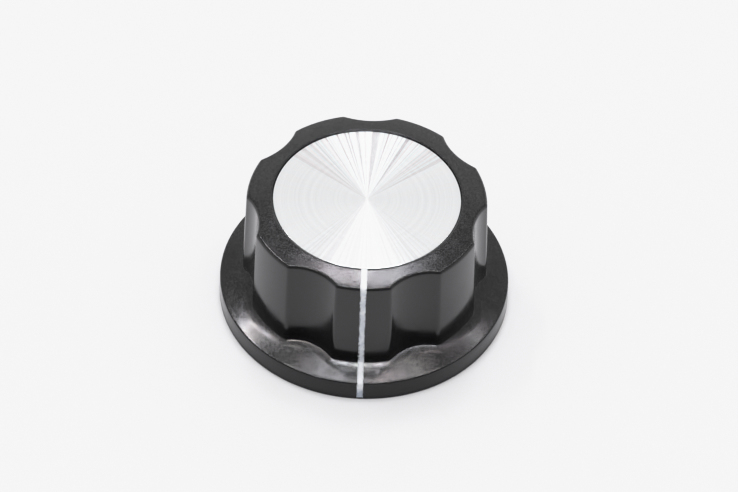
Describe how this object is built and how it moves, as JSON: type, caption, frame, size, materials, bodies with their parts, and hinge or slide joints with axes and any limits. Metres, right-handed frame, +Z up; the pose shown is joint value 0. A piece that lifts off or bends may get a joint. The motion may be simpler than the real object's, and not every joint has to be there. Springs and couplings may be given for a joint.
{
  "type": "knurled knob",
  "caption": "Black skirted control knob with a fluted grip, a turned aluminium disc on top, a white index line and a brass shaft bush held by a set screw.",
  "frame": {"origin": "centre of the skirt's base", "axes": "+Z up along the shaft's axis, -Y towards the index line, +X to the right of it"},
  "size_m": [0.045, 0.045, 0.021],
  "materials": {
    "moulding": "black thermoset moulding, glossy wall, slightly grainy skirt and ring",
    "disc": "face-turned, fine concentric lines",
    "line_paint": "white paint wiped into an engraved line",
    "bush": "turned",
    "screw": "plain steel"
  },
  "bodies": {
    "root": {"knob_body": "moulding", "face_disc": "disc", "index_line": "line_paint", "shaft_bush": "bush", "set_screw": "screw"}
  },
  "joints": []
}
